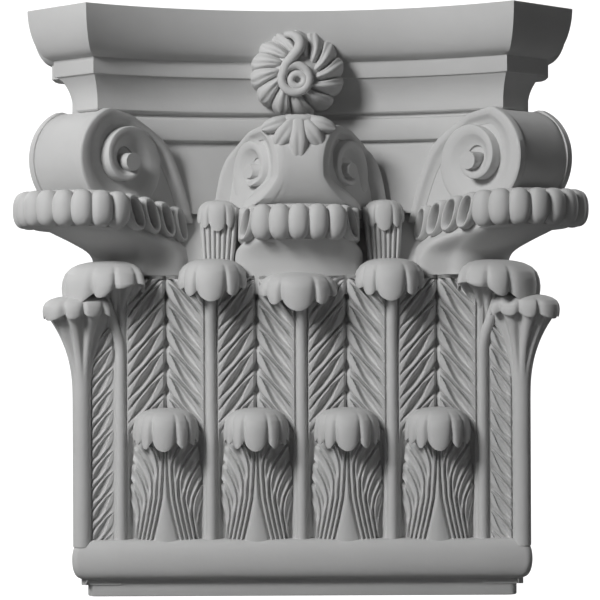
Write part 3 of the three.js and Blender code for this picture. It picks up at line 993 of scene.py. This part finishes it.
def petal(bearing, length, widest):
    """A petal that hangs from the foot of the palmette, with a fold along its middle."""

    def place(u, v):
        across = (2 * u - 1) * (widest * read_off(PETAL_OUTLINE, v))
        down = v * length
        fold = np.exp(-(((2 * u - 1) / 0.22) ** 2)) * smooth(0.2, 0.5, v)
        y = PETAL_FRONT + 4 * abs(bearing) - 6 * np.sin(math.pi * v) + 5 * (2 * u - 1) ** 4 + 0.7 * fold
        x = 5 * bearing + down * math.sin(bearing) + across * math.cos(bearing)
        z = PALMETTE_Z - down * math.cos(bearing) + across * math.sin(bearing)
        return x + PALMETTE_X, y, z

    return relief(16, 24, PETAL_BACK, place)


def petals():
    pieces = [petal(*measures) for measures in PETALS]
    pieces.append(ball((PALMETTE_X, 38, PALMETTE_Z), (18, 10, 5), fullness=2.6, segments=40))
    return pieces


# Finish

# Darkest and lightest grey of the primer, and its least and most rough places
PRIMER_DARK = (0.555, 0.555, 0.552)
PRIMER_LIGHT = (0.605, 0.605, 0.602)
SMOOTHEST = (0.62, 0.62, 0.62)
ROUGHEST = (0.74, 0.74, 0.74)


def primed_finish():
    """A matt grey primer, faintly clouded, with a fine grain over soft waves."""
    material = bpy.data.materials.new("primed_moulding")
    material.use_nodes = True
    nodes = material.node_tree.nodes
    links = material.node_tree.links
    shader = nodes["Principled BSDF"]
    shader.inputs["IOR"].default_value = 1.45
    shader.inputs["Specular IOR Level"].default_value = 0.35
    place = nodes.new("ShaderNodeTexCoord")

    def noise(scale, detail, roughness=0.5):
        made = nodes.new("ShaderNodeTexNoise")
        made.inputs["Scale"].default_value = scale
        made.inputs["Detail"].default_value = detail
        made.inputs["Roughness"].default_value = roughness
        links.new(place.outputs["Object"], made.inputs["Vector"])
        return made

    def ramp(source, low, high, start=0.3, end=0.7):
        made = nodes.new("ShaderNodeValToRGB")
        made.color_ramp.elements[0].position = start
        made.color_ramp.elements[0].color = (*low, 1)
        made.color_ramp.elements[1].position = end
        made.color_ramp.elements[1].color = (*high, 1)
        links.new(source.outputs["Fac"], made.inputs["Fac"])
        return made

    def bump(source, strength, distance):
        made = nodes.new("ShaderNodeBump")
        made.inputs["Strength"].default_value = strength
        made.inputs["Distance"].default_value = distance
        links.new(source.outputs["Fac"], made.inputs["Height"])
        return made

    tint = ramp(noise(scale=9, detail=4), PRIMER_DARK, PRIMER_LIGHT)
    links.new(tint.outputs["Color"], shader.inputs["Base Color"])
    sheen = ramp(noise(scale=60, detail=3), SMOOTHEST, ROUGHEST)
    links.new(sheen.outputs["Color"], shader.inputs["Roughness"])
    grain = bump(noise(scale=900, detail=3, roughness=0.6), strength=0.12, distance=0.0004)
    waves = bump(noise(scale=70, detail=3), strength=0.25, distance=0.0012)
    links.new(grain.outputs["Normal"], waves.inputs["Normal"])
    links.new(waves.outputs["Normal"], shader.inputs["Normal"])
    return material


# How far the carving may stand before the solid, and how far short of the wall it ends
PROUD = 9
SHORT_OF_WALL = 1


def cast(name, pieces, material, angle=38, back=WALL_Y - SHORT_OF_WALL):
    """Joins shapes into one piece of the casting, cut off at the back, and sets it in the solid's frame."""
    bpy.ops.object.select_all(action="DESELECT")
    for piece in pieces:
        piece.select_set(True)
    bpy.context.view_layer.objects.active = pieces[0]
    bpy.ops.object.join()
    piece = bpy.context.object
    piece.name = name
    piece.data.name = name
    x, y, z = points_of(piece).T
    y = np.clip(y, FRONT_Y - PROUD, back)
    move_points(piece, x * MM, (y - MIDDLE_Y) * MM, z * MM)
    piece.data.materials.clear()
    piece.data.materials.append(material)
    bpy.ops.object.shade_smooth_by_angle(angle=math.radians(angle))
    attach(piece, "root")
    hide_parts(NODE)
    return piece


finish = primed_finish()
cast("abacus_bell_and_base", abacus() + bell() + base(), finish, angle=28, back=WALL_Y)
cast("upper_leaves", upper_leaves(), finish)
cast("upper_leaf_tips", upper_tips(), finish)
cast("lower_leaves", lower_leaves(), finish)
cast("corner_leaves", corner_leaves(), finish)
cast("scrolls", scrolls(), finish)
cast("trays_and_fans", trays() + fans(), finish)
cast("flower_and_petals", flower() + petals(), finish)


# Studio

WORLD_LIGHT = 0.012
PAPER_GLOW = 1.1
PAPER_GREY = 0.05
# Radius of the flat floor, radius of the bend round it, and height of the wall above the bend
FLOOR_FLAT = 4300
FLOOR_BEND = 700
FLOOR_WALL = 3000
# Name, place, what it is aimed at, width and power of each lamp
LAMPS = (
    ("key", (-1.3, -1.5, 1.4), (0, 0, 0.32), 0.6, 40),
    ("front", (0.3, -3.6, 1.2), (0, 0, 0.3), 1.2, 1),
    ("back_left", (-2.4, 2.7, 1.8), (0, 0, 0.3), 1.5, 45),
    ("back_right", (2.4, 2.7, 1.8), (0, 0, 0.3), 1.5, 45),
)
# Camera: how far in front, how far aside and up, its roll, and the width that it sees at that distance
CAMERA_AWAY = 2160
CAMERA_X = -1.2
CAMERA_Z = 304
CAMERA_ROLL = 0.25
VIEW_WIDTH = 600
SENSOR_WIDTH = 36


def white_paper():
    backdrop = bpy.data.materials.new("white_paper")
    backdrop.use_nodes = True
    paper = backdrop.node_tree.nodes["Principled BSDF"]
    paper.inputs["Base Color"].default_value = (PAPER_GREY, PAPER_GREY, PAPER_GREY, 1)
    paper.inputs["Roughness"].default_value = 0.9
    paper.inputs["Emission Color"].default_value = (1, 1, 1, 1)
    paper.inputs["Emission Strength"].default_value = PAPER_GLOW
    return backdrop


def paper_floor():
    """A pale floor that sweeps up all round into a wall."""
    quarter = FLOOR_BEND * math.pi / 2

    def bowl(u, v):
        length = v * (FLOOR_FLAT + quarter + FLOOR_WALL)
        turn = np.clip((length - FLOOR_FLAT) / FLOOR_BEND, 0, math.pi / 2)
        radius = np.minimum(length, FLOOR_FLAT) + FLOOR_BEND * np.sin(turn)
        z = FLOOR_BEND * (1 - np.cos(turn)) + np.maximum(length - FLOOR_FLAT - quarter, 0)
        return radius * np.cos(2 * math.pi * u) * MM, radius * np.sin(2 * math.pi * u) * MM, z * MM

    floor = grid(96, 80, bowl)
    edit(floor)
    bpy.ops.mesh.remove_doubles(threshold=0.001)
    bpy.ops.mesh.normals_make_consistent(inside=True)
    done()
    floor.name = "floor"
    floor.data.materials.append(white_paper())
    bpy.ops.object.shade_smooth()
    # The glow of the paper lights nothing but the paper
    lit = bpy.data.collections.new("lit_by_paper")
    lit.objects.link(floor)
    floor.light_linking.receiver_collection = lit


def studio():
    """The floor, a soft key lamp on the left, a weak one in front and two behind."""
    paper_floor()
    world = bpy.data.worlds.new("studio")
    bpy.context.scene.world = world
    world.use_nodes = True
    light = world.node_tree.nodes["Background"]
    light.inputs["Color"].default_value = (1, 1, 1, 1)
    light.inputs["Strength"].default_value = WORLD_LIGHT
    for name, place, aim, size, power in LAMPS:
        bpy.ops.object.light_add(type="AREA", location=place)
        lamp = bpy.context.object
        lamp.name = name
        lamp.data.size = size
        lamp.data.energy = power
        lamp.rotation_euler = (Vector(aim) - Vector(place)).to_track_quat("-Z", "Y").to_euler()
    bpy.context.scene.view_settings.view_transform = "Standard"


def camera():
    bpy.ops.object.camera_add()
    eye = bpy.context.object
    eye.location = (CAMERA_X * MM, (-CAMERA_AWAY - MIDDLE_Y) * MM, CAMERA_Z * MM)
    eye.rotation_euler = (math.pi / 2, math.radians(CAMERA_ROLL), 0)
    eye.data.sensor_width = SENSOR_WIDTH
    eye.data.lens = SENSOR_WIDTH * CAMERA_AWAY / VIEW_WIDTH
    bpy.context.scene.camera = eye


studio()
camera()
